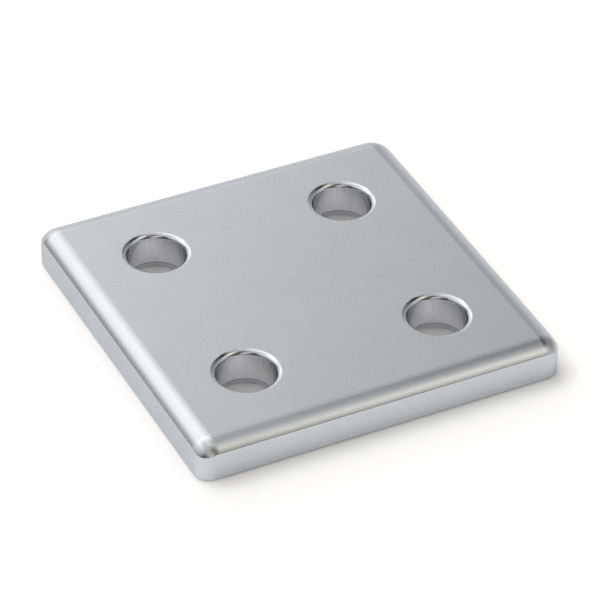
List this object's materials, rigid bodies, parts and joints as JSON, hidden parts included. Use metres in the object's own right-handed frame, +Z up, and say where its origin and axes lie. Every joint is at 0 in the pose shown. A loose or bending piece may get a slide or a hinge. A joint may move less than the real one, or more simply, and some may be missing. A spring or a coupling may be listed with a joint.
{
  "type": "cover plate",
  "caption": "Square flat metal cover plate with rounded corners, a crowned edge round the top face and a lipped through hole near each corner for bolting it down.",
  "frame": {"origin": "middle of the flat seating face underneath", "axes": "+X and +Y along the two pairs of sides, +Z up through the thickness, out of the crowned top face"},
  "size_m": [0.0564, 0.0564, 0.006],
  "materials": {
    "plate_metal": "satin, fine-grained bright zinc"
  },
  "bodies": {
    "root": {"cover_plate": "plate_metal"}
  },
  "joints": []
}
